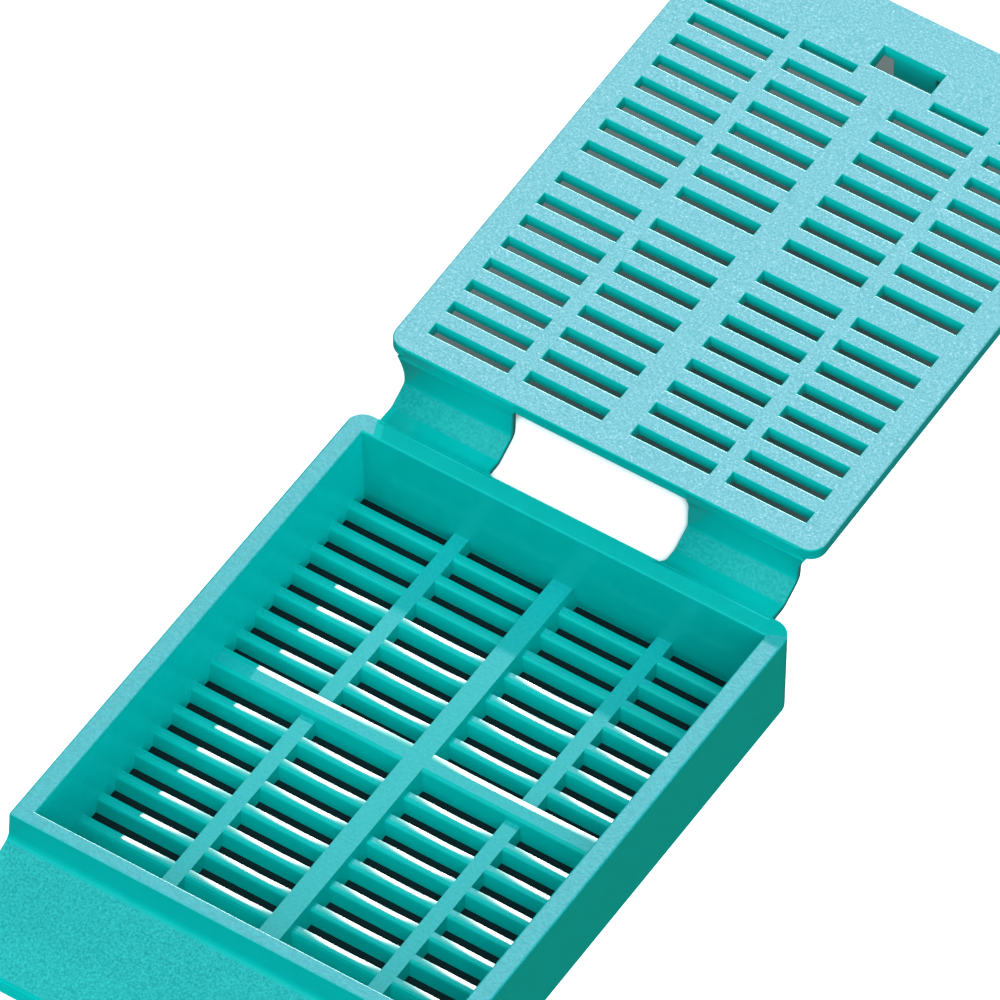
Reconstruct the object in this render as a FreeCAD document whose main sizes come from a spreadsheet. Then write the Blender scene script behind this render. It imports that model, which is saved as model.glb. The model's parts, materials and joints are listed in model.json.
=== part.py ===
import FreeCAD, Part
import math
import os
import Sketcher

# Tissue cassette with its lid open, in millimetres.
# +Z is up and the lid lies towards +Y.
# The origin is on the underside, where the centre rib crosses the middle bar.

doc = FreeCAD.newDocument("tissue_cassette")
sheet = doc.addObject("Spreadsheet::Sheet", "Sizes")

sizes = [
    # tray walls
    ("outer_width", 28.4),
    ("side_wall", 1.17),
    ("rim_height", 5.9),
    ("front_reach", 17.385),
    ("front_wall", 0.87),
    ("rear_reach", 14.355),
    ("rear_wall", 1.22),
    ("rear_lean", 0.19),
    ("corner_round", 1.1),
    # sloping writing panel in front of the tray
    ("step_lean", 0.13),
    ("step_drop", 1.84),
    ("step_round", 0.6),
    ("panel_reach", 24.805),
    ("panel_lip", 1.15),
    ("lip_round", 0.3),
    ("panel_shell", 1.0),
    # slotted floor
    ("slat_height", 0.95),
    ("slot_pitch", 1.823),
    ("slot_width", 0.865),
    ("slot_flare", 0.194),
    ("slots_in_group", 8),
    ("first_slot", 1.3325),
    ("crown_width", 0.285),
    ("crown_drop", 0.044),
    ("bar_height", 1.36),
    ("bar_top_half", 0.645),
    ("bar_crown_width", 0.35),
    ("centre_rib_top_half", 0.65),
    ("centre_rib_foot_half", 0.92),
    ("side_rib_place", 6.62),
    ("side_rib_top_half", 0.475),
    ("side_rib_foot_half", 0.57),
    ("weld", 0.3),
    # lid
    ("lid_inset", 0.285),
    ("lid_length", 35.49),
    ("lid_thick", 0.85),
    ("lid_round", 1.0),
    ("lid_edge_gap", 2.445),
    ("lid_edge_rise", 3.598),
    ("lid_tilt", 1.944),
    ("lid_slot_height", 0.758),
    ("lid_first_slot", 2.076),
    ("lid_group_jump", 0.8417),
    ("lid_inner_near", 0.93),
    ("lid_inner_far", 6.02),
    ("lid_outer_near", 7.04),
    ("lid_side_margin", 1.695),
    ("last_slot_margin", 5.31),
    ("last_slot_height", 0.556),
    ("last_slot_near", 2.5),
    ("hole_half_width", 2.0),
    ("hole_length", 1.52),
    ("hole_margin", 3.03),
    ("finger_rib_half", 1.4),
    ("finger_rib_thick", 0.8),
    ("finger_rib_depth", 1.35),
    # hinge straps
    ("strap_inset", 1.48),
    ("strap_width", 7.02),
    ("strap_thick", 0.55),
    ("strap_flange_run", 1.169),
    ("strap_flange_drop", 0.03),
    ("strap_bend_run", 2.419),
    ("strap_bend_rise", 0.75),
    ("strap_foot_ease", 0.16),
    ("strap_bend_ease", 0.305),
    ("strap_outer_flare", 0.63),
    ("strap_outer_flare_rise", 1.1),
    ("strap_inner_flare", 0.18),
    ("strap_inner_flare_rise", 2.45),
]
for row, (alias, value) in enumerate(sizes, start=1):
    sheet.set("A%d" % row, alias)
    sheet.set("B%d" % row, str(value))
    sheet.setAlias("B%d" % row, alias)
doc.recompute()


def plane_of(body, role):
    """Return the body's own origin plane or axis with the given role."""
    for feature in body.Origin.OriginFeatures:
        if feature.Role == role:
            return feature
    raise ValueError(role)


def draw(body, name, role, loops):
    """Add a sketch of closed polygons whose corners are sheet expressions."""
    sketch = body.newObject("Sketcher::SketchObject", name)
    sketch.AttachmentSupport = [(plane_of(body, role), "")]
    sketch.MapMode = "FlatFace"
    bound = []
    for loop_number, corners in enumerate(loops):
        first = sketch.GeometryCount
        count = len(corners)
        ring = []
        for index in range(count):
            angle = 2.0 * math.pi * index / count
            ring.append(FreeCAD.Vector(
                4.0 * loop_number + math.cos(angle), math.sin(angle), 0.0))
        for index in range(count):
            sketch.addGeometry(
                Part.LineSegment(ring[index], ring[(index + 1) % count]), False)
        for index in range(count):
            following = first + (index + 1) % count
            sketch.addConstraint(Sketcher.Constraint(
                "Coincident", first + index, 2, following, 1))
        for index, (across, along) in enumerate(corners):
            for kind, value, rule in (
                    ("DistanceX", ring[index].x, across),
                    ("DistanceY", ring[index].y, along)):
                number = sketch.addConstraint(Sketcher.Constraint(
                    kind, -1, 1, first + index, 1, value))
                bound.append((number, rule))
    for number, rule in bound:
        sketch.setExpression("Constraints[%d]" % number, rule)
    doc.recompute()
    return sketch


def rectangle(left, right, low, high):
    """Return the four corners of an upright rectangle."""
    return [(left, low), (right, low), (right, high), (left, high)]


def extrude(body, kind, name, sketch, length, side="One side", reverse=False, other=None):
    """Add a pad or a pocket with lengths from the sheet."""
    feature = body.newObject("PartDesign::" + kind, name)
    feature.Profile = sketch
    feature.Type = "Length"
    feature.SideType = side
    feature.Reversed = reverse
    feature.setExpression("Length", length)
    if other is not None:
        feature.Type2 = "Length"
        feature.setExpression("Length2", other)
    sketch.Visibility = False
    doc.recompute()
    return feature


def repeat(body, name, original, spacing, count):
    """Repeat a feature towards +Y."""
    pattern = body.newObject("PartDesign::LinearPattern", name)
    pattern.Originals = [original]
    pattern.Direction = (plane_of(body, "Y_Axis"), [""])
    pattern.Mode = "Spacing"
    pattern.setExpression("Offset", spacing)
    pattern.setExpression("Occurrences", count)
    body.Tip = pattern
    doc.recompute()
    return pattern


def round_edges(body, name, base, chosen, radius):
    """Round the straight edges of base picked by chosen(middle, direction)."""
    names = []
    for number, edge in enumerate(base.Shape.Edges, start=1):
        if edge.Curve.TypeId != "Part::GeomLine":
            continue
        middle = edge.valueAt((edge.FirstParameter + edge.LastParameter) / 2.0)
        direction = edge.tangentAt(edge.FirstParameter)
        if chosen(middle, direction):
            names.append("Edge%d" % number)
    fillet = body.newObject("PartDesign::Fillet", name)
    fillet.Base = (base, names)
    fillet.setExpression("Radius", radius)
    doc.recompute()
    return fillet


def near(value, target):
    """Say whether two lengths agree to a hundredth of a millimetre."""
    return abs(value - target) < 0.01


# Tray, floor grid and writing panel, one moulding.
base = doc.addObject("PartDesign::Body", "base")
base.Label = "base"

half_width = "Sizes.outer_width / 2"
half_inside = "Sizes.outer_width / 2 - Sizes.side_wall"
front_outer = "-(Sizes.front_reach + Sizes.front_wall)"
rear_outer = "Sizes.rear_reach + Sizes.rear_wall"
rear_foot = "Sizes.rear_reach + Sizes.rear_lean"
step_foot = "Sizes.rim_height - Sizes.step_drop"

wall_plan = draw(base, "WallPlan", "XY_Plane", [
    rectangle("-(%s)" % half_width, half_width, front_outer, rear_outer),
    rectangle("-(%s)" % half_inside, half_inside, "-Sizes.front_reach", rear_foot),
])
walls = extrude(base, "Pad", "Walls", wall_plan, "Sizes.rim_height")
rear_edge = sheet.rear_reach + sheet.rear_wall
corners = round_edges(
    base, "RearCorners", walls,
    lambda middle, way: near(abs(way.z), 1.0) and near(middle.y, rear_edge)
    and near(abs(middle.x), sheet.outer_width / 2.0),
    "Sizes.corner_round")

panel_side = draw(base, "PanelProfile", "YZ_Plane", [[
    ("%s + Sizes.weld" % front_outer, "0"),
    ("%s + Sizes.weld" % front_outer, "Sizes.rim_height"),
    (front_outer, "Sizes.rim_height"),
    ("%s - Sizes.step_lean" % front_outer, step_foot),
    ("-Sizes.panel_reach", "Sizes.panel_lip"),
    ("-Sizes.panel_reach", "0"),
]])
panel = extrude(base, "Pad", "Panel", panel_side, "Sizes.outer_width", "Symmetric")
step_line = -(sheet.front_reach + sheet.front_wall + sheet.step_lean)
step_bend = round_edges(
    base, "StepBend", panel,
    lambda middle, way: near(abs(way.x), 1.0) and near(middle.y, step_line)
    and near(middle.z, sheet.rim_height - sheet.step_drop),
    "Sizes.step_round")
lip_bend = round_edges(
    base, "LipBend", step_bend,
    lambda middle, way: near(abs(way.x), 1.0) and near(middle.y, -sheet.panel_reach)
    and near(middle.z, sheet.panel_lip),
    "Sizes.lip_round")

# The panel is a thin shell: its hollow is open to the table.
panel_rise = "(%s - Sizes.panel_lip)" % step_foot
panel_run = "(Sizes.panel_reach + %s - Sizes.step_lean)" % front_outer
panel_slope = "(%s / %s)" % (panel_rise, panel_run)
shell_drop = "Sizes.panel_shell * sqrt(1 + %s ^ 2)" % panel_slope
hollow_side = draw(base, "HollowProfile", "YZ_Plane", [[
    (front_outer, "0"),
    (front_outer, "%s + Sizes.step_lean * %s - %s" % (step_foot, panel_slope, shell_drop)),
    ("-Sizes.panel_reach + Sizes.panel_shell",
     "Sizes.panel_lip + Sizes.panel_shell * %s - %s" % (panel_slope, shell_drop)),
    ("-Sizes.panel_reach + Sizes.panel_shell", "0"),
]])
hollow = extrude(base, "Pocket", "PanelHollow", hollow_side,
                 "Sizes.outer_width - 2 * Sizes.side_wall", "Symmetric")

floor_plan = draw(base, "FloorPlan", "XY_Plane", [
    rectangle("-(%s + Sizes.weld)" % half_inside, "%s + Sizes.weld" % half_inside,
              "-(Sizes.front_reach + Sizes.weld)", "%s + Sizes.weld" % rear_foot),
])
floor = extrude(base, "Pad", "Floor", floor_plan, "Sizes.slat_height")


def slot_profile(centre):
    """Return a floor slot's section, with the crown of the slat in front of it."""
    near_foot = "%s - Sizes.slot_width / 2" % centre
    far_foot = "%s + Sizes.slot_width / 2" % centre
    near_top = "%s - Sizes.slot_flare" % near_foot
    return [
        (near_foot, "0"),
        (far_foot, "0"),
        ("%s + Sizes.slot_flare" % far_foot, "Sizes.slat_height"),
        ("%s - Sizes.crown_width" % near_top, "Sizes.slat_height"),
        (near_top, "Sizes.slat_height - Sizes.crown_drop"),
    ]


inside_width = "Sizes.outer_width - 2 * Sizes.side_wall"
front_slot_side = draw(base, "FrontSlotProfile", "YZ_Plane", [slot_profile(
    "-(Sizes.first_slot + Sizes.slot_pitch * (Sizes.slots_in_group - 1))")])
front_slot = extrude(base, "Pocket", "FrontSlot", front_slot_side, inside_width, "Symmetric")
front_slots = repeat(base, "FrontSlots", front_slot, "Sizes.slot_pitch",
                     "Sizes.slots_in_group")
rear_slot_side = draw(base, "RearSlotProfile", "YZ_Plane", [slot_profile("Sizes.first_slot")])
rear_slot = extrude(base, "Pocket", "RearSlot", rear_slot_side, inside_width, "Symmetric")
rear_slots = repeat(base, "RearSlots", rear_slot, "Sizes.slot_pitch", "Sizes.slots_in_group")

# The rear wall's inner face leans back towards its foot.
lean_side = draw(base, "RearLeanProfile", "YZ_Plane", [[
    (rear_foot, "0"),
    ("%s + Sizes.weld" % rear_foot, "0"),
    ("%s + Sizes.weld" % rear_foot, "Sizes.rim_height"),
    ("Sizes.rear_reach", "Sizes.rim_height"),
]])
lean = extrude(base, "Pad", "RearLean", lean_side, inside_width, "Symmetric")


def rib_section(centre, top_half, foot_half, height):
    """Return the section of a floor rib, wider at its foot."""
    return [
        ("%s - %s" % (centre, foot_half), "0"),
        ("%s + %s" % (centre, foot_half), "0"),
        ("%s + %s" % (centre, top_half), height),
        ("%s - %s" % (centre, top_half), height),
    ]


ribs_front = "Sizes.front_reach + Sizes.weld"
ribs_rear = "%s + Sizes.weld" % rear_foot
side_rib_section = draw(base, "SideRibProfile", "XZ_Plane", [
    rib_section("-Sizes.side_rib_place", "Sizes.side_rib_top_half",
                "Sizes.side_rib_foot_half", "Sizes.slat_height"),
    rib_section("Sizes.side_rib_place", "Sizes.side_rib_top_half",
                "Sizes.side_rib_foot_half", "Sizes.slat_height"),
])
side_ribs = extrude(base, "Pad", "SideRibs", side_rib_section, ribs_front, "Two sides",
                    other=ribs_rear)
centre_rib_section = draw(base, "CentreRibProfile", "XZ_Plane", [
    rib_section("0", "Sizes.centre_rib_top_half", "Sizes.centre_rib_foot_half",
                "Sizes.bar_height"),
])
centre_rib = extrude(base, "Pad", "CentreRib", centre_rib_section, ribs_front, "Two sides",
                     other=ribs_rear)
bar_foot = "(Sizes.first_slot - Sizes.slot_width / 2)"
bar_side = draw(base, "MiddleBarProfile", "YZ_Plane", [[
    ("-%s" % bar_foot, "0"),
    (bar_foot, "0"),
    ("Sizes.bar_top_half",
     "Sizes.bar_height - Sizes.bar_crown_width * Sizes.crown_drop / Sizes.crown_width"),
    ("Sizes.bar_top_half - Sizes.bar_crown_width", "Sizes.bar_height"),
    ("-Sizes.bar_top_half", "Sizes.bar_height"),
]])
middle_bar = extrude(base, "Pad", "MiddleBar", bar_side, inside_width, "Symmetric")
base.Tip = middle_bar

# Lid, modelled flat with its inner face on local z = 0 and its hinge edge on local y = 0.
lid = doc.addObject("PartDesign::Body", "lid")
lid.Label = "lid"
lid_half = "(Sizes.outer_width / 2 - Sizes.lid_inset)"
lid_plan = draw(lid, "LidPlan", "XY_Plane", [
    rectangle("-" + lid_half, lid_half, "0", "Sizes.lid_length"),
])
plate = extrude(lid, "Pad", "LidPlate", lid_plan, "Sizes.lid_thick", reverse=True)
plate_round = round_edges(
    lid, "LidCorners", plate,
    lambda middle, way: near(abs(way.z), 1.0),
    "Sizes.lid_round")


def slot_row(place, height, inner_near):
    """Return the four slots of one lid row, centred on the given place."""
    low = "%s - %s / 2" % (place, height)
    high = "%s + %s / 2" % (place, height)
    outer_far = "(%s - Sizes.lid_side_margin)" % lid_half
    return [
        rectangle("-" + outer_far, "-Sizes.lid_outer_near", low, high),
        rectangle("-Sizes.lid_inner_far", "-%s" % inner_near, low, high),
        rectangle(inner_near, "Sizes.lid_inner_far", low, high),
        rectangle("Sizes.lid_outer_near", outer_far, low, high),
    ]


near_row_plan = draw(lid, "NearRowPlan", "XY_Plane", slot_row(
    "Sizes.lid_first_slot", "Sizes.lid_slot_height", "Sizes.lid_inner_near"))
near_row = extrude(lid, "Pocket", "NearRow", near_row_plan, "Sizes.lid_thick")
near_rows = repeat(lid, "NearRows", near_row, "Sizes.slot_pitch", "Sizes.slots_in_group")
far_row_plan = draw(lid, "FarRowPlan", "XY_Plane", slot_row(
    "Sizes.lid_first_slot + Sizes.slot_pitch * Sizes.slots_in_group + Sizes.lid_group_jump",
    "Sizes.lid_slot_height", "Sizes.lid_inner_near"))
far_row = extrude(lid, "Pocket", "FarRow", far_row_plan, "Sizes.lid_thick")
far_rows = repeat(lid, "FarRows", far_row, "Sizes.slot_pitch", "Sizes.slots_in_group - 1")
hole_end = "Sizes.lid_length - Sizes.hole_margin"
last_row_plan = draw(lid, "LastRowPlan", "XY_Plane", slot_row(
    "Sizes.lid_length - Sizes.last_slot_margin", "Sizes.last_slot_height",
    "Sizes.last_slot_near") + [
    rectangle("-Sizes.hole_half_width", "Sizes.hole_half_width",
              "%s - Sizes.hole_length" % hole_end, hole_end),
])
last_row = extrude(lid, "Pocket", "LastRowAndHole", last_row_plan, "Sizes.lid_thick")
finger_rib_plan = draw(lid, "FingerRibPlan", "XY_Plane", [
    rectangle("-Sizes.finger_rib_half", "Sizes.finger_rib_half",
              hole_end, "%s + Sizes.finger_rib_thick" % hole_end),
])
finger_rib = extrude(lid, "Pad", "FingerRib", finger_rib_plan,
                     "Sizes.lid_thick + Sizes.finger_rib_depth", reverse=True)
lid.Tip = finger_rib
lid.Placement = FreeCAD.Placement(
    FreeCAD.Vector(0.0, 0.0, 0.0), FreeCAD.Rotation(FreeCAD.Vector(1, 0, 0), 1.0))
lid_edge_place = "%s + Sizes.lid_edge_gap" % rear_outer
lid_edge_height = "Sizes.rim_height + Sizes.lid_edge_rise"
lid.setExpression("Placement.Base.y", lid_edge_place)
lid.setExpression("Placement.Base.z", lid_edge_height)
lid.setExpression("Placement.Rotation.Angle", "Sizes.lid_tilt")

# Hinge straps: thin webs from the rear wall to the lid's outer face.
tilt_sine = "sin(Sizes.lid_tilt * 1 deg)"
tilt_cosine = "cos(Sizes.lid_tilt * 1 deg)"
under_edge_place = "%s + Sizes.lid_thick * %s" % (lid_edge_place, tilt_sine)
under_edge_height = "%s - Sizes.lid_thick * %s" % (lid_edge_height, tilt_cosine)
flange_place = "%s + Sizes.strap_flange_run" % rear_outer
bend_place = "%s + Sizes.strap_bend_run" % rear_outer
bend_height = "Sizes.rim_height + Sizes.strap_bend_rise"
strap_far = "(Sizes.outer_width / 2 - Sizes.strap_inset)"
strap_near = "(%s - Sizes.strap_width)" % strap_far
flare_far = "(%s + Sizes.strap_outer_flare)" % strap_far
flare_near = "(%s - Sizes.strap_inner_flare)" % strap_near


def make_strap(label, side):
    """Build one strap on the side whose sign is given as text."""
    strap = doc.addObject("PartDesign::Body", label)
    strap.Label = label
    web_side = draw(strap, label + "_Profile", "YZ_Plane", [[
        (rear_outer, "Sizes.rim_height"),
        (flange_place, "Sizes.rim_height - Sizes.strap_flange_drop"),
        (bend_place, bend_height),
        (under_edge_place, under_edge_height),
        ("%s + Sizes.strap_thick * %s" % (under_edge_place, tilt_cosine),
         "%s + Sizes.strap_thick * %s" % (under_edge_height, tilt_sine)),
        ("%s + Sizes.strap_thick" % bend_place,
         "%s - Sizes.strap_bend_ease" % bend_height),
        ("%s + Sizes.strap_foot_ease" % flange_place,
         "Sizes.rim_height - Sizes.strap_flange_drop - Sizes.strap_thick"),
        (rear_outer, "Sizes.rim_height - Sizes.strap_thick"),
    ]])
    web = extrude(strap, "Pad", label + "_Web", web_side,
                  "%s - %s" % (flare_far, flare_near), "Symmetric")
    web_side.setExpression("AttachmentOffset.Base.z",
                           "%s(%s + %s) / 2" % (side, flare_far, flare_near))
    trim_side = draw(strap, label + "_TrimProfile", "XZ_Plane", [
        [
            ("%s%s" % (side, strap_far), "0"),
            ("%s(%s + Sizes.weld)" % (side, flare_far), "0"),
            ("%s(%s + Sizes.weld)" % (side, flare_far), under_edge_height),
            ("%s%s" % (side, flare_far), under_edge_height),
            ("%s%s" % (side, strap_far),
             "Sizes.rim_height + Sizes.strap_outer_flare_rise"),
        ],
        [
            ("%s%s" % (side, strap_near), "0"),
            ("%s(%s - Sizes.weld)" % (side, flare_near), "0"),
            ("%s(%s - Sizes.weld)" % (side, flare_near), under_edge_height),
            ("%s%s" % (side, flare_near), under_edge_height),
            ("%s%s" % (side, strap_near),
             "Sizes.rim_height + Sizes.strap_inner_flare_rise"),
        ],
    ])
    trim = extrude(strap, "Pocket", label + "_Trim", trim_side,
                   "2 * (%s + Sizes.lid_thick + Sizes.strap_thick)" % bend_place,
                   "Symmetric")
    strap.Tip = trim
    return strap


strap_left = make_strap("hinge_strap_left", "-")
strap_right = make_strap("hinge_strap_right", "+")
doc.recompute()

for item in doc.Objects:
    if "Invalid" in item.State or "Error" in item.State:
        raise RuntimeError("%s is %s" % (item.Name, item.State))

os.makedirs("parts", exist_ok=True)
for piece in (base, lid, strap_left, strap_right):
    if piece.Shape.isNull() or not piece.Shape.isValid():
        raise RuntimeError("%s has no valid shape" % piece.Label)
    piece.Shape.exportStep("parts/%s.step" % piece.Label)
    box = piece.Shape.BoundBox
    print("%s volume %.1f solids %d x %.2f %.2f y %.2f %.2f z %.2f %.2f" % (
        piece.Label, piece.Shape.Volume, len(piece.Shape.Solids),
        box.XMin, box.XMax, box.YMin, box.YMax, box.ZMin, box.ZMax))
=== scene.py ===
import json
import math
import random

import bmesh
import bpy
from mathutils import Matrix, Vector

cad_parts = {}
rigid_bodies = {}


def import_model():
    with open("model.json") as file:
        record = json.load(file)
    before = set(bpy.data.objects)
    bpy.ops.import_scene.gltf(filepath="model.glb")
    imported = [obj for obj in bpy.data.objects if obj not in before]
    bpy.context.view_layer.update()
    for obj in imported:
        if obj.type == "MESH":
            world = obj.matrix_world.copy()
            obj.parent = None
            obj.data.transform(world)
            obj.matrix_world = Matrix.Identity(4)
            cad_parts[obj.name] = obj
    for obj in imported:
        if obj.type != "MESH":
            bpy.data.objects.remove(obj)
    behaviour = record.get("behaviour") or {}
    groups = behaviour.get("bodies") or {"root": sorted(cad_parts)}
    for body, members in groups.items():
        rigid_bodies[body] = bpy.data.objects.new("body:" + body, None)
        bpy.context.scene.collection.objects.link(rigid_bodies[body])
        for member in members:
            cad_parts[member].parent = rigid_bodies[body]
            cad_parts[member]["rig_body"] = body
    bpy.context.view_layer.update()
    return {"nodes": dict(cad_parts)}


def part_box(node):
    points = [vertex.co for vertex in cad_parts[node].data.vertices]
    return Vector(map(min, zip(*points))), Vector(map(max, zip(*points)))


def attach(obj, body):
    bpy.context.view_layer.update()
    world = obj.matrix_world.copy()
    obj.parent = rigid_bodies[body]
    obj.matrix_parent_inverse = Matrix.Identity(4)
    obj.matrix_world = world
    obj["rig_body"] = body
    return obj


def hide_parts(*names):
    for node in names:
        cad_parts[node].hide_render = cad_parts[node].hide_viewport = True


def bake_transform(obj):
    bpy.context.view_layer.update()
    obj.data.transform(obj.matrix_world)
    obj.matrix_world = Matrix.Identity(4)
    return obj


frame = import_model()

MM = 0.001

# Places in the CAD part, in metres: the writing panel is at the front, which is -y, and the
# hinge and the lid are at the back.
RIM = 5.9 * MM
BAR_TOP = 1.36 * MM
GRID_TOPS = 0.8 * MM, 1.5 * MM
TRAY_FRONT = -18.255 * MM
GRID_FRONT = TRAY_FRONT + 1 * MM
PANEL_REAR = TRAY_FRONT - 0.3 * MM
SIDE_WALL = 13.0 * MM
OUTER_SIDE = 13.2 * MM
REAR_RIM = 14.2 * MM
REAR_WALL = 14.7 * MM
LID_LOW, LID_HIGH = (Vector(corner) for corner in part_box("lid"))
LID_TILT = math.radians(1.944)

# The writing panel's front lip lies before the first line, the first slat's front between
# the two.
FRONT_LINES = -15.2 * MM, -13.4 * MM

# The lid's near edge lies before this line, and its slots behind it.
SLOTS_FROM = 19 * MM

# Cosines above which a face counts as level, nearly level, facing a way, or facing sideways.
LEVEL = 0.9999
NEARLY_LEVEL = 0.999
FACING = 0.9
SIDEWAYS = 0.95

# How far a normal may lean to the side where a face runs straight across the tray.
STRAIGHT = 0.02

# How far apart two heights may be that count as one.
SAME_LEVEL = 0.01 * MM

# Camera: the direction it looks from, its roll and its distance to the aim point.
AZIMUTH = math.radians(32.379)
ELEVATION = math.radians(50.378)
ROLL = math.radians(0.782)
AIM = Vector((-4.096, 14.424, 5.9)) * MM
DISTANCE = 718.88 * MM
LENS = 474.57
SENSOR = 36.0


def direction(azimuth, elevation):
    """Return the unit vector towards a viewer or lamp; azimuth 0 is in front."""
    return Vector((math.sin(azimuth) * math.cos(elevation),
                   -math.cos(azimuth) * math.cos(elevation), math.sin(elevation)))


def make_camera():
    """Add the camera on the photograph's line of sight."""
    data = bpy.data.cameras.new("camera")
    data.lens = LENS
    data.sensor_width = SENSOR
    data.clip_start = 0.01
    data.clip_end = 10.0
    camera = bpy.data.objects.new("camera", data)
    bpy.context.scene.collection.objects.link(camera)
    back = direction(AZIMUTH, ELEVATION)
    level = Vector((math.cos(AZIMUTH), math.sin(AZIMUTH), 0.0))
    up = back.cross(level)
    right = math.cos(ROLL) * level + math.sin(ROLL) * up
    top = math.cos(ROLL) * up - math.sin(ROLL) * level
    turn = Matrix((right, top, back)).transposed()
    camera.matrix_world = Matrix.Translation(AIM + back * DISTANCE) @ turn.to_4x4()
    bpy.context.scene.camera = camera


# Materials: colours are linear, grain is in cycles per metre.

WHITE = (1.0, 1.0, 1.0)
WIDE_GRAIN = 900.0
FINE_GRAIN = 5200.0
PANEL_GRAIN = 7400.0
LID_GRAIN = 7800.0


def new_material(name):
    """Return a cleared node material with its tree and output."""
    material = bpy.data.materials.new(name)
    material.use_nodes = True
    tree = material.node_tree
    tree.nodes.clear()
    output = tree.nodes.new("ShaderNodeOutputMaterial")
    return material, tree, output


def noise(tree, scale):
    """Add a noise texture on object coordinates, in cycles per metre."""
    place = tree.nodes.new("ShaderNodeTexCoord")
    texture = tree.nodes.new("ShaderNodeTexNoise")
    texture.inputs["Scale"].default_value = scale
    texture.inputs["Detail"].default_value = 3.0
    texture.inputs["Roughness"].default_value = 0.6
    tree.links.new(place.outputs["Object"], texture.inputs["Vector"])
    return texture


def ramp(tree, source, stops):
    """Map a value through colour stops given as (place, colour)."""
    node = tree.nodes.new("ShaderNodeValToRGB")
    elements = node.color_ramp.elements
    while len(elements) < len(stops):
        elements.new(0.5)
    for element, (place, colour) in zip(elements, stops):
        element.position = place
        element.color = (*colour, 1.0)
    tree.links.new(source, node.inputs["Fac"])
    return node


def bump(tree, height, distance):
    """Turn a height into a surface normal."""
    node = tree.nodes.new("ShaderNodeBump")
    node.inputs["Strength"].default_value = 1.0
    node.inputs["Distance"].default_value = distance
    tree.links.new(height, node.inputs["Height"])
    return node


def plastic(name, stops, level, roughness=0.3, ior=1.5, tint=WHITE, grain=WIDE_GRAIN,
            relief=0.0):
    """Moulded plastic whose colour wanders over a grain, with the grain's relief in metres."""
    material, tree, output = new_material(name)
    shader = tree.nodes.new("ShaderNodeBsdfPrincipled")
    shader.inputs["Roughness"].default_value = roughness
    shader.inputs["IOR"].default_value = ior
    shader.inputs["Specular IOR Level"].default_value = level
    shader.inputs["Specular Tint"].default_value = (*tint, 1.0)
    texture = noise(tree, grain)
    colour = ramp(tree, texture.outputs["Fac"], stops)
    tree.links.new(colour.outputs["Color"], shader.inputs["Base Color"])
    if relief:
        rough = bump(tree, texture.outputs["Fac"], relief)
        tree.links.new(rough.outputs["Normal"], shader.inputs["Normal"])
    tree.links.new(shader.outputs["BSDF"], output.inputs["Surface"])
    return material


PLAIN = [(0.3, (0.0, 0.40, 0.375)), (0.7, (0.0, 0.425, 0.405))]
SMOOTH = plastic("smooth_teal", PLAIN, level=0.3, roughness=0.22, tint=(0.3, 0.9, 1.0))
CROWN = plastic("glossy_teal", PLAIN, level=0.5, roughness=0.22)

# These three are painted light and shade on the one plastic. The left inner wall, the fronts by
# the writing panel and the lid slots' far walls are painted lighter. The right outer wall is
# painted a greener tone with less sheen.
INNER_WALL_PAINTED_LIGHT = plastic("inner_wall_painted_light", [(0.3, (0.0, 0.61, 0.59)), (0.7, (0.0, 0.65, 0.63))],
                 level=0.1)
SLOT_WALL_PAINTED_LIGHT = plastic("slot_wall_painted_light", [(0.3, (0.0, 0.58, 0.55)), (0.7, (0.0, 0.61, 0.58))],
                    level=0.1)
OUTER_WALL_PAINTED_LIGHT = plastic("outer_wall_painted_light", [(0.3, (0.0, 0.46, 0.375)), (0.7, (0.0, 0.48, 0.395))],
                  level=0.05)

TEXTURED = plastic("textured_teal", [(0.35, (0.0, 0.35, 0.36)), (0.65, (0.01, 0.43, 0.45))],
                   level=0.65, roughness=0.36, ior=1.6, tint=(0.9, 0.6, 1.0),
                   grain=FINE_GRAIN, relief=0.012 * MM)
RIB_TOP = plastic("rib_top_teal", [(0.35, (0.0, 0.37, 0.38)), (0.65, (0.005, 0.42, 0.44))],
                  level=0.35, roughness=0.36, ior=1.6, tint=(0.8, 0.8, 1.0),
                  grain=FINE_GRAIN, relief=0.008 * MM)
PANEL = plastic("panel_teal", [(0.32, (0.0, 0.27, 0.26)), (0.68, (0.02, 0.46, 0.455))],
                level=0.3, roughness=0.5, ior=1.6, tint=(0.4, 0.6, 1.0),
                grain=PANEL_GRAIN, relief=0.009 * MM)
STRIP = plastic("strap_teal", [(0.32, (0.0, 0.30, 0.295)), (0.68, (0.01, 0.39, 0.385))],
                level=0.1, roughness=0.5, grain=FINE_GRAIN, relief=0.006 * MM)
# The lid's face is painted pale as a sheen, and its lightest specks are painted glints; its grain
# and relief are its own.
LID_FACE_AND_SHEEN = plastic("lid_face_and_painted_sheen", [(0.32, (0.05, 0.37, 0.41)), (0.6, (0.16, 0.50, 0.58)),
                                (0.74, (0.42, 0.74, 0.82))],
                   level=0.7, roughness=0.5, ior=1.6, tint=(0.8, 0.7, 0.9),
                   grain=LID_GRAIN, relief=0.009 * MM)
# Each list holds real finishes and painted light.
TRAY_FINISHES_AND_PAINTED_LIGHT = [SMOOTH, TEXTURED, INNER_WALL_PAINTED_LIGHT, PANEL, CROWN, RIB_TOP, OUTER_WALL_PAINTED_LIGHT, SLOT_WALL_PAINTED_LIGHT]
LID_FINISHES_AND_PAINTED_LIGHT = [SMOOTH, LID_FACE_AND_SHEEN, SLOT_WALL_PAINTED_LIGHT, CROWN]


# The slats' sloping tops: each slopes least at its ends and most at its peak, which lies
# nearer its left end on the long slats and in the left column.

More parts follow.
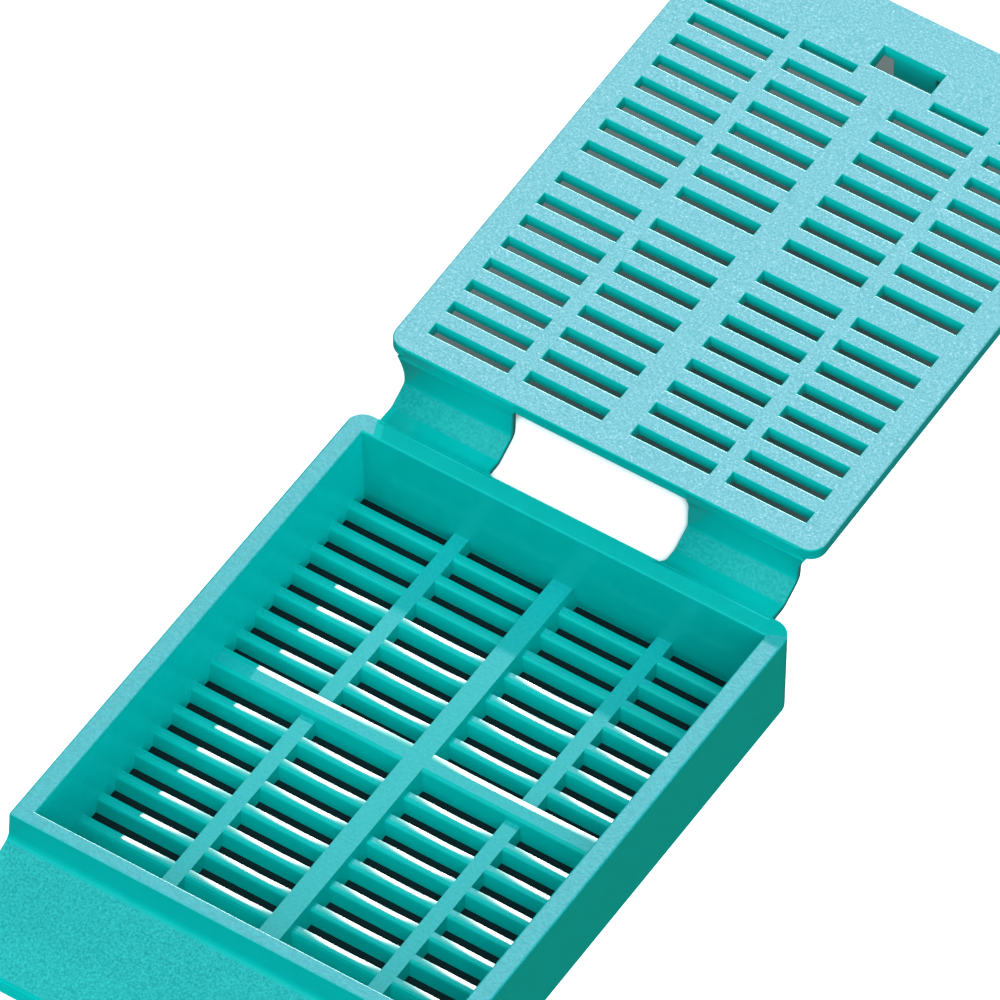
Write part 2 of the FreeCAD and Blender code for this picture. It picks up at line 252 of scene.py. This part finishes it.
CROWN_PARTS = 12
CROWN_SLOPES = math.radians(3.0), math.radians(8.2)
CROWN_SPREAD = 0.95, 1.08
LONG_SLAT = 8 * MM
LEFT_COLUMN = -10 * MM
LEFT_PEAK, RIGHT_PEAK = 0.3, 0.68
PEAK_SPREAD = 0.08

# The short slats right of the middle start shallower at their left end, by this factor.
SHALLOW_START = 0.3


def is_crown(normal):
    """Say whether a face is one of the slats' sloping tops."""
    return normal.z > FACING and normal.y > 0.04


def cut_evenly(edge, parts):
    """Cut an edge that runs across the tray into equal parts; return its corners from the left."""
    first, last = sorted(edge.verts, key=lambda corner: corner.co.x)
    corners = [first]
    for left in range(parts, 1, -1):
        corners.append(bmesh.utils.edge_split(edge, corners[-1], 1 / left)[1])
    return corners + [last]


def crown_slope(left, right, chance):
    """Draw one slat's peak and steepest slope; return its slope as a function of x."""
    long = right - left > LONG_SLAT
    peak = LEFT_PEAK if long or left < LEFT_COLUMN else RIGHT_PEAK
    peak += chance.uniform(-PEAK_SPREAD, PEAK_SPREAD)
    low, high = CROWN_SLOPES
    high *= chance.uniform(*CROWN_SPREAD)
    low_left = low if left < 0 or long else low * SHALLOW_START

    def slope(x):
        """Return the top's slope at a place along the slat."""
        share = (x - left) / (right - left)
        if share < peak:
            start, rise = low_left, share / peak
        else:
            start, rise = low, (1 - share) / (1 - peak)
        return start + (high - start) * (1 - (1 - rise) ** 2)

    return slope


def shape_crowns(work):
    """Cut each sloping slat top along its length, and ease its slope towards the ribs."""
    chance = random.Random(11)
    crowns = [face for face in work.faces if is_crown(face.normal)]
    crowns.sort(key=lambda face: (round(face.calc_center_median().y, 6), face.verts[0].co.x))
    for crown in crowns:
        across = [edge for edge in crown.edges
                  if abs(edge.verts[0].co.y - edge.verts[1].co.y) < 0.001 * MM]
        across.sort(key=lambda edge: edge.verts[0].co.y)
        front, rear = (cut_evenly(edge, CROWN_PARTS) for edge in across)
        for near, far in zip(front[1:-1], rear[1:-1]):
            shared = set(near.link_faces) & set(far.link_faces)
            bmesh.utils.face_split(shared.pop(), near, far)
        width = rear[0].co.y - front[0].co.y
        slope = crown_slope(rear[0].co.x, rear[-1].co.x, chance)
        for near, far in zip(front, rear):
            far.co.z = near.co.z - width * math.tan(slope(far.co.x))
    work.normal_update()


# The rounded front edges of the slats and bars.

SLAT_ROUND = 0.2 * MM
EASE_PARTS = 4


def in_grid(spot):
    """Say whether a point lies on the tops of the grid in the tray's floor."""
    return GRID_TOPS[0] < spot.z < GRID_TOPS[1] and spot.y > GRID_FRONT


def is_eased(normal):
    """Say whether a face belongs to the rounded front edge of a slat or bar."""
    return normal.y < -0.05 and normal.z > 0.25


def cut_faces(work, faces, spot, across):
    """Cut some faces along a plane."""
    around = set(faces)
    for face in faces:
        around.update(face.edges)
        around.update(face.verts)
    bmesh.ops.bisect_plane(work, geom=list(around), dist=0.001 * MM, plane_co=spot,
                           plane_no=across)


def front_edges(work):
    """Return the front top edges of the slats and bars, each with its top and front face."""
    found = []
    for edge in work.edges:
        if len(edge.link_faces) != 2 or not in_grid(edge.verts[0].co):
            continue
        top, front = sorted(edge.link_faces, key=lambda face: -face.normal.z)
        if top.normal.z > LEVEL and front.normal.y < -FACING and edge.is_convex:
            found.append((edge, top, front))
    return found


def cut_beside_edges(work):
    """Cut the grid's tops off at each front edge's ends, and a strip on both sides of the edge."""
    ends = {(round(corner.co.x, 6), round(corner.co.z, 6))
            for edge, top, front in front_edges(work) for corner in edge.verts}
    for x, level in sorted(ends):
        tops = [face for face in work.faces if face.normal.z > LEVEL
                and in_grid(face.verts[0].co) and abs(face.verts[0].co.z - level) < SAME_LEVEL]
        cut_faces(work, tops, Vector((x, 0.0, level)), Vector((1.0, 0.0, 0.0)))
    for edge, top, front in front_edges(work):
        corner = edge.verts[0].co.copy()
        cut_faces(work, [top], corner + Vector((0.0, SLAT_ROUND, 0.0)), Vector((0.0, 1.0, 0.0)))
        cut_faces(work, [front], corner - Vector((0.0, 0.0, SLAT_ROUND)), Vector((0.0, 0.0, 1.0)))


def eased_profile(work, corner, edge, top, front):
    """Return the corners of a curve around one end of a front edge, from its top down."""
    above, below = (next(side.other_vert(corner) for side in corner.link_edges
                         if side in face.edges and side != edge)
                    for face in (top, front))
    bend = []
    for k in range(1, EASE_PARTS):
        t = k / EASE_PARTS
        bend.append(work.verts.new(above.co * (1 - t) ** 2
                                   + corner.co * 2 * t * (1 - t) + below.co * t ** 2))
    return [above] + bend + [below]


def ease_front_edges(work):
    """Round the front top edge of each slat and bar between the ribs."""
    cut_beside_edges(work)
    for edge, top, front in front_edges(work):
        one, other = (eased_profile(work, corner, edge, top, front) for corner in edge.verts)
        work.faces.remove(top)
        work.faces.remove(front)
        for k in range(EASE_PARTS):
            work.faces.new((one[k], other[k], other[k + 1], one[k + 1]))
        for corner, profile in zip(edge.verts, (one, other)):
            work.faces.new([corner] + profile)
        work.edges.remove(edge)
    bmesh.ops.recalc_face_normals(work, faces=work.faces)
    work.normal_update()


# Dressing: a CAD mesh is copied, its edges are rounded, and each region gets its finish or painted
# light.

SAME_PLACE = 1e-7
SAME_PLANE = math.radians(1.0)
SHARP_ANGLE = math.radians(20)
WIDEST_ROUND = 0.25 * MM
OUTLINE_ROUND = 0.12 * MM
WALL_ROUND = 0.08 * MM
SLOT_NEAR_ROUND = 0.14 * MM
SLOT_FAR_ROUND = 0.05 * MM
ROUND_PARTS = 3
CORNER_CUT = Vector((-12.6, 14.9, 5.9)) * MM
CORNER_ACROSS = Vector((1.0, 0.35, 0.0))

# The cosine above which part of a rounded edge has the finish of the face above it.
TURNED_UP = 0.7

# Shading: how far a crown's normals lean past its slope, and the slopes that a rolled edge's
# normals take at its front and at its back.
CROWN_ROLL = math.radians(1.9)
ROLL_SLOPES = math.radians(2.0), math.radians(16.0)


def sharp_edges(work):
    """Return the edges where two faces meet at a real corner."""
    return [edge for edge in work.edges
            if len(edge.link_faces) == 2 and edge.calc_face_angle(0.0) > SHARP_ANGLE]


def part_rear_corner(work):
    """Cut the tray's rim across at its rear left corner, along the edge of the lid's shadow."""
    rim = [face for face in work.faces if face.normal.z > NEARLY_LEVEL
           and abs(face.calc_center_median().z - RIM) < SAME_LEVEL
           and max(corner.co.y for corner in face.verts) > REAR_RIM]
    cut_faces(work, rim, CORNER_CUT, CORNER_ACROSS)


def is_rolled(normal):
    """Say whether part of a rounded edge is the one that leans back a little."""
    return normal.y > 0.05 and normal.z > FACING and abs(normal.x) < STRAIGHT


def is_panel(normal):
    """Say whether a face slopes down to the front as the writing panel does."""
    return normal.z > 0.85 and normal.y < -0.3


def sloping_back(slope):
    """Return the normal of a surface that slopes down towards the back."""
    return Vector((0.0, math.sin(slope), math.cos(slope)))


def settle_normals(mesh, rounded):
    """Shade flat faces flat, and the crowns and the edges leaning back as a gentle roll."""
    slopes, eased, beside = {}, {}, {}
    for face in mesh.polygons:
        if face.material_index == rounded:
            continue
        for vertex in face.vertices:
            if is_crown(face.normal):
                slope = math.atan2(face.normal.y, face.normal.z)
                slopes.setdefault(vertex, []).append(slope)
            elif is_eased(face.normal):
                eased.setdefault(vertex, []).append(face.normal)
            elif abs(face.normal.x) < STRAIGHT:
                beside.setdefault(vertex, []).append(face.normal)
    normals = [corner.vector.copy() for corner in mesh.corner_normals]
    for face in mesh.polygons:
        for corner in face.loop_indices:
            vertex = mesh.loops[corner].vertex_index
            behind = mesh.vertices[vertex].co.y > face.center.y
            if face.material_index == rounded:
                if is_rolled(face.normal):
                    normals[corner] = sloping_back(ROLL_SLOPES[behind])
            elif is_crown(face.normal):
                slope = sum(slopes[vertex]) / len(slopes[vertex])
                slope += CROWN_ROLL if behind else -CROWN_ROLL
                normals[corner] = sloping_back(slope)
            elif is_eased(face.normal) and in_grid(face.center):
                around = beside.get(vertex) or eased[vertex]
                normals[corner] = sum(around, Vector()).normalized()
            else:
                normals[corner] = face.normal.copy()
    mesh.normals_split_custom_set(normals)


def shaped_mesh(source, name, radius_of):
    """Copy a CAD mesh, shape its grid, and weigh its sharp edges by their rounding."""
    mesh = source.data.copy()
    mesh.name = name
    work = bmesh.new()
    work.from_mesh(mesh)
    bmesh.ops.remove_doubles(work, verts=work.verts, dist=SAME_PLACE)
    bmesh.ops.dissolve_limit(work, angle_limit=SAME_PLANE, verts=work.verts, edges=work.edges)
    work.normal_update()
    shape_crowns(work)
    ease_front_edges(work)
    part_rear_corner(work)
    weight = work.edges.layers.float.new("bevel_weight_edge")
    for face in work.faces:
        face.smooth = True
    for edge in sharp_edges(work):
        edge[weight] = radius_of(edge) / WIDEST_ROUND
        edge.smooth = edge[weight] > 0
    work.to_mesh(mesh)
    work.free()
    return mesh


def dressed(node, name, radius_of, finish_or_painted_light_of, finishes_and_painted_light):
    """Show a CAD node as a copy with rounded edges and a finish or painted light on each region.
    """
    source = frame["nodes"][node]
    mesh = shaped_mesh(source, name, radius_of)
    mesh.materials.clear()
    for material in finishes_and_painted_light:
        mesh.materials.append(material)
    piece = bpy.data.objects.new(name, mesh)
    bpy.context.scene.collection.objects.link(piece)
    # The rounded faces are marked by one more slot until each has its finish or painted light.
    mark = len(finishes_and_painted_light)
    mesh.materials.append(SMOOTH)
    rounding = piece.modifiers.new("rounding", "BEVEL")
    rounding.limit_method = "WEIGHT"
    rounding.width = WIDEST_ROUND
    rounding.segments = ROUND_PARTS
    rounding.use_clamp_overlap = False
    rounding.loop_slide = False
    rounding.harden_normals = True
    rounding.material = mark
    seen = piece.evaluated_get(bpy.context.evaluated_depsgraph_get())
    piece.data = bpy.data.meshes.new_from_object(seen)
    piece.modifiers.clear()
    settle_normals(piece.data, mark)
    for face in piece.data.polygons:
        chosen_look = finish_or_painted_light_of(face.center, face.normal, face.material_index == mark)
        face.material_index = finishes_and_painted_light.index(chosen_look)
    piece.data.materials.pop()
    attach(piece, source["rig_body"])
    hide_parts(node)


def tray_radius(edge):
    """Return how far a tray edge is rounded; the rear wall's top and the grid stay sharp."""
    middle = (edge.verts[0].co + edge.verts[1].co) / 2
    if middle.z > RIM - 0.3 * MM and middle.y > REAR_WALL:
        return 0.0
    if middle.z > RIM - 0.1 * MM:
        return OUTLINE_ROUND
    return WALL_ROUND if middle.z > GRID_TOPS[1] or middle.y < TRAY_FRONT else 0.0


def tray_finish_or_painted_light(middle, tilt, rounded):
    """Pick a tray face's finish or painted light from where it lies and which way it faces."""
    below_rim = middle.z < RIM - 0.1 * MM
    if rounded:
        # Painted shade: the rim's rounded rear edges, which the lid shades, get the smooth finish.
        if below_rim or tilt.z < TURNED_UP or middle.y > REAR_RIM:
            return SMOOTH
        return CROWN if is_rolled(tilt) else TEXTURED
    first, second = FRONT_LINES
    # Painted light: the writing panel's front lip and the slat fronts near it are painted lighter.
    if tilt.y < -FACING and middle.z < BAR_TOP and middle.y < second:
        return INNER_WALL_PAINTED_LIGHT if middle.y < first else SLOT_WALL_PAINTED_LIGHT
    if middle.y < PANEL_REAR and is_panel(tilt):
        return PANEL
    # Painted light: the left inner wall is painted lighter.
    if tilt.x > SIDEWAYS and abs(middle.x + SIDE_WALL) < 0.2 * MM:
        return INNER_WALL_PAINTED_LIGHT
    # Painted light: the right outer wall is painted a greener tone with less sheen.
    if tilt.x > SIDEWAYS and middle.x > OUTER_SIDE:
        return OUTER_WALL_PAINTED_LIGHT
    if is_crown(tilt):
        return CROWN
    if tilt.z < NEARLY_LEVEL:
        return SMOOTH
    if below_rim:
        return RIB_TOP
    # Painted shade: the rim's rear part, which the lid shades, gets the smooth finish with less
    # sheen; the corner past the cut keeps the texture.
    return TEXTURED if middle.y < REAR_RIM or middle.x < CORNER_CUT.x else SMOOTH


def on_outline(spot):
    """Say whether a point lies near the lid's outline."""
    return min(spot.x - LID_LOW.x, LID_HIGH.x - spot.x, spot.y - LID_LOW.y,
               LID_HIGH.y - spot.y) < 0.6 * MM


def lid_radius(edge):
    """Return how far a lid edge is rounded: the slots' near edges more than their far ones."""
    middle = (edge.verts[0].co + edge.verts[1].co) / 2
    if on_outline(middle):
        return OUTLINE_ROUND
    facing_back = any(face.normal.y > FACING for face in edge.link_faces)
    return SLOT_NEAR_ROUND if facing_back else SLOT_FAR_ROUND


def lid_finish_or_painted_light(middle, tilt, rounded):
    """The lid's inner face is textured and painted pale as a sheen, its slots' far walls painted
    lighter, their near edges glossy.
    """
    if rounded:
        if on_outline(middle):
            return LID_FACE_AND_SHEEN if tilt.z > TURNED_UP else SMOOTH
        return CROWN if is_rolled(tilt) else SMOOTH
    if tilt.z > NEARLY_LEVEL:
        return LID_FACE_AND_SHEEN
    # Painted light: the slots' far walls are painted lighter.
    return SLOT_WALL_PAINTED_LIGHT if tilt.y < -FACING and middle.y > SLOTS_FROM else SMOOTH


# The straps, in mm. Their line runs in (y, z) from the rear wall's top up into the lid.

STRAP_LINE = [(15.35, 5.904), (16.744, 5.87), (17.994, 6.65), (18.008, 9.4)]
STRAP_BEND = 0.35
STRAP_STEP = 0.12
BEND_PARTS = 6
STRAP_NEAR, STRAP_FAR = 5.7, 12.72
STRAP_THICK = 0.55
STRAP_FOOT = 15.575
LID_UNDERSIDE = 8.655
SIDES_IN_LID = 5.54, 12.85

# The strap is widest just below its face, at this share of its thickness, and narrower by
# this much at its face and its back.
EDGE_DEPTH = 0.12
EDGE_EASE = 0.06

# Its face is textured between these two y, below this height.
TEXTURED_LENGTH = 16.72, 17.96
TEXTURED_TOP = 6.66


def rounded_line(corners, radius, step):
    """Follow a line of (y, z) corners, rounding each bend."""
    points = [Vector(corners[0])]
    for before, corner, after in zip(corners, corners[1:], corners[2:]):
        corner = Vector(corner)
        back = (Vector(before) - corner).normalized()
        ahead = (Vector(after) - corner).normalized()
        reach = radius * math.tan((math.pi - back.angle(ahead)) / 2)
        start, end = corner + back * reach, corner + ahead * reach
        for k in range(BEND_PARTS + 1):
            t = k / BEND_PARTS
            points.append(start * (1 - t) ** 2 + corner * 2 * t * (1 - t) + end * t ** 2)
    points.append(Vector(corners[-1]))
    line = [points[0]]
    for point in points[1:]:
        start = line[-1]
        parts = max(1, math.ceil((point - start).length / step))
        for k in range(1, parts + 1):
            line.append(start.lerp(point, k / parts))
    return line


def flare(amount, start, end, place):
    """Return how far a side spreads at a place between a flare's start and its end."""
    return amount * max(0.0, (place - start) / (end - start)) ** 2


def strap_sides(y, z):
    """Return the strap's inner and outer side at a point of its length, flared at both ends."""
    if z > LID_UNDERSIDE:
        return SIDES_IN_LID
    inner = STRAP_NEAR - flare(0.16, 8.3, LID_UNDERSIDE, z)
    inner -= flare(0.3, STRAP_FOOT + 0.45, STRAP_FOOT, y)
    return inner, STRAP_FAR + flare(0.5, 7.0, LID_UNDERSIDE, z)


def strap_ring(work, line, index, side):
    """Add the corners of the strap's section at one point of its line."""
    point = line[index]
    before = line[max(index - 1, 0)]
    after = line[min(index + 1, len(line) - 1)]
    along = (after - before).normalized()
    out = Vector((0.0, along.y, -along.x)) * STRAP_THICK
    inner, outer = strap_sides(point.x, point.y)
    top = Vector((0.0, point.x, point.y))
    section = ((0.0, inner + EDGE_EASE), (0.0, outer - EDGE_EASE), (EDGE_DEPTH, outer),
               (1.0, outer - EDGE_EASE), (1.0, inner + EDGE_EASE), (EDGE_DEPTH, inner))
    return [work.verts.new((top + out * depth + Vector((side * x, 0.0, 0.0))) * MM)
            for depth, x in section]


def make_strap(name, node, side):
    """Bend a strip from the tray's rear wall up to the lid."""
    line = rounded_line(STRAP_LINE, STRAP_BEND, STRAP_STEP)
    work = bmesh.new()
    rings = [strap_ring(work, line, index, side) for index in range(len(line))]
    for low, high in zip(rings, rings[1:]):
        for k in range(len(low)):
            after = (k + 1) % len(low)
            face = work.faces.new((low[k], low[after], high[after], high[k]))
            middle = face.calc_center_median() / MM
            start, end = TEXTURED_LENGTH
            textured = k == 0 and start < middle.y < end and middle.z < TEXTURED_TOP
            face.material_index = 1 if textured else 0
            face.smooth = True
    work.faces.new(rings[0])
    work.faces.new(rings[-1])
    bmesh.ops.recalc_face_normals(work, faces=work.faces)
    mesh = bpy.data.meshes.new(name)
    work.to_mesh(mesh)
    work.free()
    mesh.materials.append(SMOOTH)
    mesh.materials.append(STRIP)
    piece = bpy.data.objects.new(name, mesh)
    bpy.context.scene.collection.objects.link(piece)
    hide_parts(node)
    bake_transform(piece)


# Stage: three lamps light all but the floor, and one, from the camera's side, the floor alone.
# The sky's heights are sines of elevation, and its levels the strengths there.

FLOOR_SIZE = 4.0
FLOOR_DEPTH = 0.06 * MM
FLOOR_COLOUR = 0.68, 0.86, 0.88
FLOOR_GLOW = 0.08
# The dark card under the tray is painted shade, so that the tray's slots show dark.
SHADE_CARD_COLOUR = 0.005, 0.018, 0.02
SHADE_CARD_SIZE = 27.6 * MM, 33.2 * MM
SHADE_CARD_PLACE = Vector((0.0, -1.4, -0.02)) * MM
SKY_HEIGHTS = 0.25, 0.6
SKY_LEVELS = 0.03, 0.34


def add_plane(name, size, centre, material):
    """Add a flat stage piece, facing up."""
    work = bmesh.new()
    bmesh.ops.create_grid(work, x_segments=1, y_segments=1, size=0.5)
    mesh = bpy.data.meshes.new(name)
    work.to_mesh(mesh)
    work.free()
    mesh.transform(Matrix.Diagonal((size[0], size[1], 1.0, 1.0)))
    mesh.materials.append(material)
    plane = bpy.data.objects.new(name, mesh)
    plane.location = centre
    bpy.context.scene.collection.objects.link(plane)
    return plane


def floor_material():
    """A pale floor: coloured paper to the camera, a soft glow to everything else."""
    material, tree, output = new_material("floor_white")
    seen = tree.nodes.new("ShaderNodeLightPath")
    paper = tree.nodes.new("ShaderNodeBsdfDiffuse")
    paper.inputs["Color"].default_value = (*FLOOR_COLOUR, 1.0)
    glow = tree.nodes.new("ShaderNodeEmission")
    glow.inputs["Strength"].default_value = FLOOR_GLOW
    mix = tree.nodes.new("ShaderNodeMixShader")
    tree.links.new(seen.outputs["Is Camera Ray"], mix.inputs["Fac"])
    tree.links.new(glow.outputs["Emission"], mix.inputs[1])
    tree.links.new(paper.outputs["BSDF"], mix.inputs[2])
    tree.links.new(mix.outputs["Shader"], output.inputs["Surface"])
    return material


def shade_card_material():
    """A dull, dark card, for painted shade."""
    material, tree, output = new_material("painted_shade_card")
    shader = tree.nodes.new("ShaderNodeBsdfDiffuse")
    shader.inputs["Color"].default_value = (*SHADE_CARD_COLOUR, 1.0)
    tree.links.new(shader.outputs["BSDF"], output.inputs["Surface"])
    return material


def add_sun(name, toward, energy, angle):
    """Add a distant lamp that shines from a direction, with its angular size in degrees."""
    data = bpy.data.lights.new(name, "SUN")
    data.energy = energy
    data.angle = math.radians(angle)
    lamp = bpy.data.objects.new(name, data)
    bpy.context.scene.collection.objects.link(lamp)
    lamp.rotation_mode = "QUATERNION"
    lamp.rotation_quaternion = Vector(toward).normalized().to_track_quat("Z", "Y")
    return lamp


def only(name, item):
    """Return a light-linking group that holds one object alone."""
    group = bpy.data.collections.new(name)
    group.objects.link(item)
    return group


def all_but(name, item):
    """Return a light-linking group that holds everything except one object."""
    group = only(name, item)
    group.collection_objects[0].light_linking.link_state = "EXCLUDE"
    return group


def make_flag(shade_card):
    """Add an unseen sheet inside the lid that keeps light from the floor seen in its slots."""
    size = LID_HIGH.x - LID_LOW.x - 1 * MM, LID_HIGH.y - LID_LOW.y - 1 * MM
    flag = add_plane("lid_flag", size, (LID_LOW + LID_HIGH) / 2, shade_card)
    flag.rotation_euler.x = LID_TILT
    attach(flag, "cover")
    flag.visible_camera = False
    flag.visible_glossy = False
    flag.visible_transmission = False
    return flag


def make_surroundings():
    """Return a world that is white to the camera and lights from above, less near the horizon."""
    world = bpy.data.worlds.new("surroundings")
    world.use_nodes = True
    tree = world.node_tree
    place = tree.nodes.new("ShaderNodeTexCoord")
    height = tree.nodes.new("ShaderNodeSeparateXYZ")
    tree.links.new(place.outputs["Generated"], height.inputs["Vector"])
    sky = tree.nodes.new("ShaderNodeMapRange")
    sky.inputs["From Min"].default_value, sky.inputs["From Max"].default_value = SKY_HEIGHTS
    sky.inputs["To Min"].default_value, sky.inputs["To Max"].default_value = SKY_LEVELS
    tree.links.new(height.outputs["Z"], sky.inputs["Value"])
    seen = tree.nodes.new("ShaderNodeLightPath")
    level = tree.nodes.new("ShaderNodeMapRange")
    level.inputs["To Max"].default_value = 1.0
    tree.links.new(sky.outputs["Result"], level.inputs["To Min"])
    tree.links.new(seen.outputs["Is Camera Ray"], level.inputs["Value"])
    background = tree.nodes["Background"]
    background.inputs["Color"].default_value = (*WHITE, 1.0)
    tree.links.new(level.outputs["Result"], background.inputs["Strength"])
    return world


def make_stage():
    """Add the pale floor, the dark card of painted shade, the lamps and the white surroundings."""
    floor = add_plane("floor", (FLOOR_SIZE, FLOOR_SIZE), (0.0, 0.0, -FLOOR_DEPTH),
                      floor_material())
    shade_card = shade_card_material()
    # Painted shade: a dark card under the tray shows through its slots.
    add_plane("painted_shade_under_tray", SHADE_CARD_SIZE, SHADE_CARD_PLACE, shade_card)
    flag = make_flag(shade_card)
    bpy.context.scene.world = make_surroundings()
    front = direction(math.radians(27), math.radians(34))
    lamps = (add_sun("key", (-0.33, 0.7115, 0.6187), energy=0.9, angle=1.6),
             add_sun("front_fill", front, energy=2.9, angle=90.0),
             add_sun("top_fill", (0.15, -0.2, 0.97), energy=1.1, angle=60.0))
    not_floor = all_but("object_only", floor)
    not_flag = all_but("not_flagged", flag)
    for lamp in lamps:
        lamp.light_linking.receiver_collection = not_floor
        lamp.light_linking.blocker_collection = not_flag
    floor_lamp = add_sun("floor_lamp", direction(AZIMUTH, ELEVATION), energy=8.0, angle=5.0)
    floor_lamp.light_linking.receiver_collection = only("floor_only", floor)


make_camera()
make_stage()
dressed("base", "tray_moulding", tray_radius, tray_finish_or_painted_light, TRAY_FINISHES_AND_PAINTED_LIGHT)
dressed("lid", "lid_moulding", lid_radius, lid_finish_or_painted_light, LID_FINISHES_AND_PAINTED_LIGHT)
make_strap("strap_left", "hinge_strap_left", -1.0)
make_strap("strap_right", "hinge_strap_right", 1.0)

bpy.context.scene.view_settings.view_transform = "Standard"
